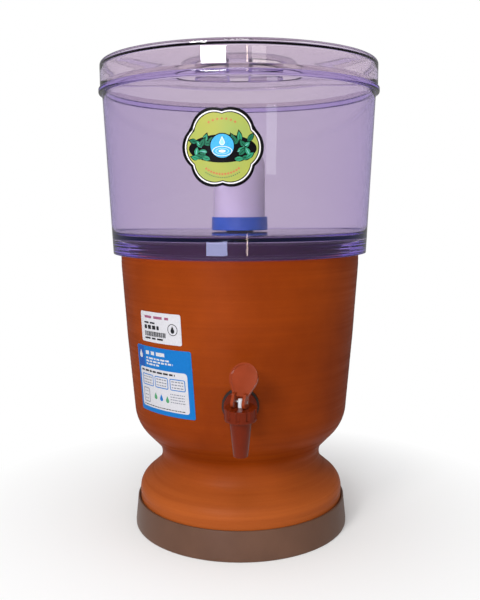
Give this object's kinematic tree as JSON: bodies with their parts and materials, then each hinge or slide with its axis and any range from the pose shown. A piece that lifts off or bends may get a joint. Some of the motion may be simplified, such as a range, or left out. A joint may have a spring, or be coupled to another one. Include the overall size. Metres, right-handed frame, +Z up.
{
  "type": "clay water filter with tap",
  "caption": "Gravity water filter: clay pot on a waisted foot and dish, clear chamber and lid above, candle and float valve inside, lever tap at the front.",
  "frame": {"origin": "centre of the flat underside of the base dish, on the pot's axis", "axes": "+Z up along the pot's axis, -Y out through the tap at the front, +X to the right seen from the front"},
  "size_m": [0.28, 0.3141, 0.4765],
  "materials": {
    "clay": "fired terracotta, matte",
    "base_plastic": "moulded plastic, satin",
    "clear_violet": "clear violet plastic, polished",
    "label_white": "coated paper",
    "label_blue": "coated paper",
    "badge_print": "printed film",
    "tap_brown": "moulded plastic, glossy",
    "lever_brown": "moulded plastic, glossy",
    "washer_rubber": "moulded rubber",
    "silicone": "translucent silicone",
    "white_plastic": "moulded plastic, satin",
    "pin_steel": "drawn steel",
    "ceramic": "fired porous ceramic",
    "carbon": "pressed carbon grains",
    "cup_blue": "moulded plastic, glossy"
  },
  "bodies": {
    "pot": {"clay_pot": "clay", "clay_foot": "clay", "base_dish": "base_plastic", "price_sticker": "label_white", "info_label": "label_blue", "tap_outer_washer": "washer_rubber", "tap_inner_washer": "washer_rubber", "tap_nut": "tap_brown", "tap_body": "tap_brown", "tap_cap": "tap_brown"},
    "chamber": {"upper_chamber": "clear_violet", "front_badge": "badge_print", "candle_shell": "ceramic", "candle_core": "carbon", "candle_cup": "cup_blue", "candle_upper_washer": "washer_rubber", "candle_lower_washer": "washer_rubber", "candle_wing_nut": "white_plastic", "float_valve_body": "white_plastic", "float_pin": "pin_steel"},
    "lid": {"lid": "clear_violet"},
    "float": {"float_arm": "white_plastic", "float_ball": "white_plastic"},
    "seat": {"tap_seat_cup": "silicone"},
    "stem": {"tap_stem": "white_plastic", "tap_pin": "pin_steel"},
    "lever": {"tap_lever": "lever_brown"}
  },
  "joints": [
    {"name": "chamber_lift", "type": "slide", "parent": "pot", "child": "chamber", "axis": [0, 0, 1], "range_m": [0, 0.12]},
    {"name": "lid_lift", "type": "slide", "parent": "chamber", "child": "lid", "axis": [0, 0, 1], "range_m": [0, 0.08]},
    {"name": "float_swing", "type": "hinge", "parent": "chamber", "child": "float", "pos_m": [-0.015, 0, 0.2607], "axis": [0, -1, 0], "range_deg": [0, 30]},
    {"name": "stem_lift", "type": "slide", "parent": "pot", "child": "seat", "axis": [0, -0.0822, 0.9966], "range_m": [0, 0.002], "deforming": ["tap_seat_cup"]},
    {"name": "stem_swivel", "type": "hinge", "parent": "seat", "child": "stem", "pos_m": [0, -0.16043, 0.1682], "axis": [0, -0.0822, 0.9966], "continuous": true},
    {"name": "lever_tilt", "type": "hinge", "parent": "stem", "child": "lever", "pos_m": [0, -0.16043, 0.1682], "axis": [0.9272, -0.3733, -0.0308], "range_deg": [0, 40], "stiffness_Nm_per_rad": 0.08}
  ],
  "couplings": [
    {"joint": "stem_lift", "follows": "lever_tilt", "m_per_rad": 0.0027622}
  ]
}
